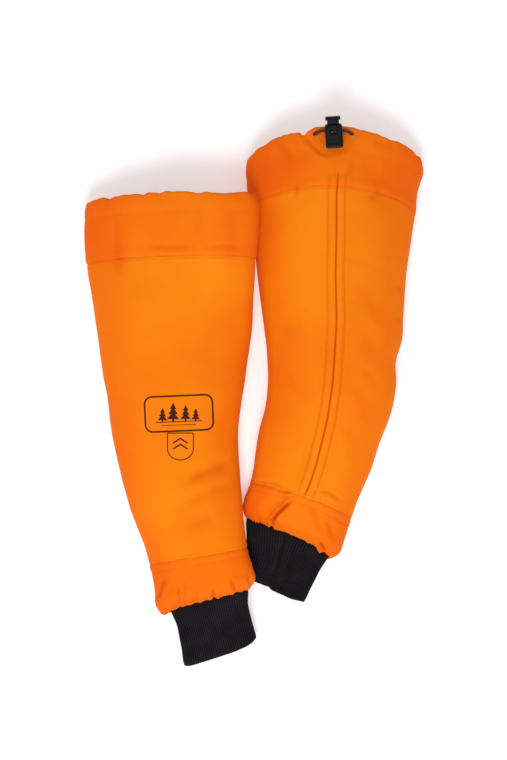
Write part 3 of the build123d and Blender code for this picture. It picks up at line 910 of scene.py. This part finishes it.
# ---- sewing thread
def tree_of(*objects):
    vertices, faces = [], []
    for o in objects:
        start = len(vertices)
        vertices += [v.co.copy() for v in o.data.vertices]
        faces += [tuple(start + i for i in p.vertices) for p in o.data.polygons]
    return BVHTree.FromPolygons(vertices, faces)


def cloth_at(tree, x, y, upper):
    """Where the cloth is met from above, or from below, at a place in the frame."""
    start, way = (0.2, -1) if upper else (-0.05, 1)
    return tree.ray_cast(Vector((x, y, start)), Vector((0, 0, way)))[:2]


def walk(route, pitch):
    """Evenly spaced points and directions along a route seen from above."""
    route = np.array(route, float)
    points = points_at(route, np.arange(pitch / 2, distances(route)[-1], pitch))
    return points, unit(np.gradient(points, axis=0))


def stitches(name, routes, tree, body, upper=True):
    """A run of lockstitch: short thread loops that dip into the cloth at each end."""
    vertices, faces = [], []
    for route in routes:
        for point, way in zip(*walk(route, STITCH_PITCH)):
            hit, normal = cloth_at(tree, *((point + PAIR_SHIFT[:2]) * MM), upper)
            if hit is not None and abs(normal.z) >= 0.15:
                add_stitch(vertices, faces, hit, normal if (normal.z > 0) == upper else -normal, way)
    new_object(name, (vertices, faces), THREAD, body)


def add_stitch(vertices, faces, at, normal, way):
    forward = Vector((way[0], way[1], 0))
    forward = (forward - normal * forward.dot(normal)).normalized()
    side = normal.cross(forward)
    faces += rod_faces(STITCH_SIDES, len(STITCH_PROFILE), len(vertices))
    for along, high, thick in STITCH_PROFILE:
        middle = at + forward * along * STITCH_LONG * MM + normal * high * THREAD_RADIUS * MM
        for k in range(STITCH_SIDES):
            a = 2 * pi * k / STITCH_SIDES
            spot = middle + (side * cos(a) + normal * sin(a)) * THREAD_RADIUS * thick * MM
            vertices.append((spot.x, spot.y, max(spot.z, 0.2 * FLOOR_GAP * MM)))


def beside(route, offset):
    """The route moved sideways, seen from above."""
    route = np.array(route, float)
    return route + offset * sideways(unit(np.gradient(route, axis=0)))


def seam_round(name, station, offset):
    """A line round the top of the sleeve, offset along it from one of its sections."""
    rows = SLEEVE[name]
    row = sections_at(rows, stations_of(rows)[station] + np.array([offset]))[0]
    return ring(row, np.linspace(-0.29, 0.29, 90))[:, :2]


def eyelets(name, tree, body):
    """Whipped thread round each hole, leaning over its rim."""
    vertices, faces = [], []
    turns, around = 56, 8
    for spot, way in EYELETS[name]:
        faces += loop_faces(around, turns, start=len(vertices))
        middle, way = Vector(spot) * MM, Vector(way)
        normal = tree.find_nearest(middle)[1]
        forward = (way - normal * way.dot(normal)).normalized()
        side = normal.cross(forward)
        for k in range(turns):
            a = 2 * pi * k / turns
            out = forward * cos(a) * EYELET_LONG + side * sin(a) * EYELET_WIDE
            rim, whip = out.normalized(), 0.42 + 0.12 * (k % 2)
            centre = tree.find_nearest(middle + out * MM)[0]
            for j in range(around):
                b = 2 * pi * j / around
                vertices.append(centre + (rim * cos(b) * 1.5 + normal * (sin(b) + 0.5)) * whip * MM)
    new_object(f"{name}_eyelets", (vertices, faces), THREAD, body)


# ---- print on the front
def film(name, pieces, tree, body, upper):
    """Flat shapes, each a grid of plan points in mm, laid on the cloth as a thin film."""
    vertices, faces = [], []
    lift = FILM_LIFT if upper else -0.5 * FLOOR_GAP
    for shape in pieces:
        shape = np.asarray(shape, float)
        rows, columns = shape.shape[:2]
        start = len(vertices)
        for x, y in (shape.reshape(-1, 2) + PAIR_SHIFT[:2]) * MM:
            hit, _ = cloth_at(tree, x, y, upper)
            vertices.append((x, y, max((hit.z if hit else 0.06) + lift * MM, 0.3 * FLOOR_GAP * MM)))
        for i in range(rows - 1):
            for j in range(columns - 1):
                a = start + i * columns + j
                faces.append((a, a + 1, a + columns + 1, a + columns))
    new_object(name, (vertices, faces), INK, body)


def stroke(points, wide, closed=False, step=1.2):
    """A line of even width along the given points."""
    points = np.array(points, float)
    if closed:
        points = np.vstack([points, points[:1]])
    length = distances(points)[-1]
    fine = points_at(points, np.linspace(0, length, max(2, int(length / step))))
    way = np.gradient(fine, axis=0)
    if closed:
        way[0] = way[-1] = fine[1] - fine[-2]
    out = sideways(unit(way)) * wide / 2
    return np.stack([fine - out, fine, fine + out], axis=1)


def rounded_box(middle, wide, high, corner, turn):
    """Outline of a rounded rectangle, turned by some degrees."""
    points = []
    for k, (sx, sy) in enumerate([(1, 1), (-1, 1), (-1, -1), (1, -1)]):
        for a in np.linspace(0, pi / 2, 7) + k * pi / 2:
            points.append((sx * (wide / 2 - corner) + corner * cos(a),
                           sy * (high / 2 - corner) + corner * sin(a)))
    c, s = cos(radians(turn)), sin(radians(turn))
    return [(middle[0] + x * c - y * s, middle[1] + x * s + y * c) for x, y in points]


def conifer(x, y, wide, high):
    """A fir tree as three stacked skirts and a trunk, each a strip of rows."""
    shapes = []
    for k in range(3):
        low, top = y + high * (0.14 + 0.26 * k), y + high * (0.52 + 0.24 * k)
        half = wide / 2 * (1 - 0.24 * k)
        shapes.append([[(x + half * (1 - v) * s, low + (top - low) * v) for s in (-1, -0.5, 0, 0.5, 1)]
                       for v in np.linspace(0, 1, 6)])
    trunk = wide * 0.08
    shapes.append([[(x + trunk * s, y + high * 0.16 * v) for s in (-1, 0, 1)] for v in (0, 0.5, 1)])
    return shapes


def shield(middle, wide, high):
    """Outline of a plain shield: flat top, straight sides, a pointed foot."""
    x, y = middle
    half, shoulder = wide / 2, y - high * 0.08
    right = [(x + half, y + high / 2), (x + half, shoulder)]
    right += [(x + half * cos(a), shoulder - high * 0.42 * sin(a)) for a in np.linspace(0.15, pi / 2, 8)]
    return right + [(2 * x - u, v) for u, v in reversed(right[:-1])]


def front_print(name, tree, body):
    """A generic forest panel over a plain shield with chevrons, with no lettering."""
    x, y, turn, upper = PRINT[name]
    slope = tan(radians(turn))
    pieces = [stroke(rounded_box((x, y), 70.5, 36.5, 7.5, turn), 1.7, closed=True)]
    base = y - 8.5
    for dx, wide, high in FIR_TREES:
        pieces += conifer(x + dx, base + dx * slope, wide, high)
    rise = 24 * slope
    pieces.append(stroke([(x - 24, base - rise), (x + 24, base + rise)], 0.8))
    pieces.append(stroke([(x - 18, base - 3.6 - rise * 0.7), (x + 18, base - 3.6 + rise * 0.7)], 0.6))
    low = (x + 1.5, y - 34.5)
    pieces.append(stroke(shield(low, 27, 28), 1.0, closed=True))
    for top in (low[1] + 6, low[1]):
        pieces.append(stroke([(low[0] - 7.5, top - 2.5), (low[0], top + 2.5), (low[0] + 7.5, top - 2.5)], 1.5))
    film(f"{name}_front_print", pieces, tree, body, upper)


# ---- hard parts from the frame
def finish_node(name, surface):
    """A CAD part keeps its shape and gets its finish."""
    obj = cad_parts[name]
    obj.data.materials.clear()
    obj.data.materials.append(surface)


def lock_spring(name):
    """A wound spring inside the lock, along the way to its plunger."""
    origin, x, y, z = (np.array(v) for v in LOCK_FRAME[name])
    steps, around = 130, 8
    axis = origin + z * SPRING_MIDDLE
    vertices = []
    for share in np.linspace(0, 1, steps):
        a = share * SPRING_TURNS * 2 * pi
        out = x * cos(a) + z * sin(a)
        middle = axis + y * (SPRING_LOW + (SPRING_HIGH - SPRING_LOW) * share) + out * SPRING_RADIUS
        for b in np.arange(around) * 2 * pi / around:
            vertices.append((middle + (out * cos(b) + y * sin(b)) * SPRING_WIRE / 2) * MM)
    obj = new_object(f"{name}_wound_spring", (vertices, rod_faces(around, steps)), STEEL,
                     f"{name}_cord_lock")
    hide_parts(f"{name}_lock_spring")
    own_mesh(obj)


def build_sleeve(name, seed):
    body = f"{name}_sleeve"
    shell, hem, band = outer_shell(name, seed), upper_band(name, seed), lower_band(name, seed)
    knit_cuff(name, seed + 4)
    inner_tube(name, "lining_cloth", LINING_INSET, LINING_WALL, "lining_cloth", seed, "lining", False)
    for k in range(LAYER_COUNT):
        inner_tube(name, f"fibre_layer_{k + 1}", LAYER_START + k * LAYER_STEP, LAYER_WALL,
                   "cut_stopping_fibre", seed, f"protective_layer_{k + 1}", True)
    tree = tree_of(shell, hem, band)
    lines = [beside(BACK_SEAM[name][1:-1], side * STITCH_SIDE) for side in (-1, 1)]
    stitches(f"{name}_back_topstitch", lines, tree, body, BACK_UP[name])
    hem_seam, lower_seam = SEAMS[name]
    seams = [seam_round(name, *line) for line in ((hem_seam, 2.6), (lower_seam, 8.3), (lower_seam, -2.4))]
    stitches(f"{name}_seam_topstitch", seams, tree, body)
    eyelets(name, tree_of(hem), body)
    front_print(name, tree, body)
    lock_spring(name)
    finish_node(f"{name}_lock_body", LOCK)
    finish_node(f"{name}_lock_plunger", PLUNGER)
    finish_node(f"{name}_cord_ends", BRAID)
    finish_node(f"{name}_drawcord", BRAID)


# ---- room, light and camera
def floor():
    """A white table that gives off a little light of its own, so that its shadows stay faint."""
    s = Surface("table_white", Emission_Color=(1, 1, 1, 1), Emission_Strength=TABLE_GLOW, Roughness=1.0,
                Specular_IOR_Level=0.0)
    s.colours([(0.78, 0.78, 0.78), (0.80, 0.80, 0.80)], 2.0)
    mesh = bpy.data.meshes.new("table")
    corners = [(x * TABLE_HALF, y * TABLE_HALF, 0) for x, y in ((-1, -1), (1, -1), (1, 1), (-1, 1))]
    mesh.from_pydata(corners, [], [(0, 1, 2, 3)])
    mesh.materials.append(s.material)
    linked(bpy.data.objects.new("table", mesh))


def lamp(name, place, size, watts):
    data = bpy.data.lights.new(name, "AREA")
    data.shape, data.size, data.energy = "DISK", size, watts
    obj = linked(bpy.data.objects.new(name, data))
    obj.location = place
    obj.rotation_euler = (-Vector(place)).to_track_quat("-Z", "Y").to_euler()


def light():
    scene = bpy.context.scene
    scene.world = bpy.data.worlds.new("studio")
    scene.world.use_nodes = True
    back = scene.world.node_tree.nodes["Background"]
    back.inputs["Color"].default_value = (1, 1, 1, 1)
    back.inputs["Strength"].default_value = WORLD_LIGHT
    lamp("overhead_softbox", (-0.1, -1.1, 2.2), 1.1, 33)
    lamp("side_softbox", (-1.5, 0.9, 1.3), 0.9, 2)
    scene.view_settings.view_transform = "Standard"
    scene.view_settings.look = "None"


def camera():
    data = bpy.data.cameras.new("camera")
    data.lens, data.sensor_fit = LENS, "VERTICAL"
    data.sensor_width = data.sensor_height = SENSOR
    data.clip_end = 20
    obj = linked(bpy.data.objects.new("camera", data))
    obj.location = (*CAMERA_AIM, CAMERA_HEIGHT)
    bpy.context.scene.camera = obj


camera()
light()
floor()
for seed, name in enumerate(("left", "right"), 1):
    build_sleeve(name, seed * 10)
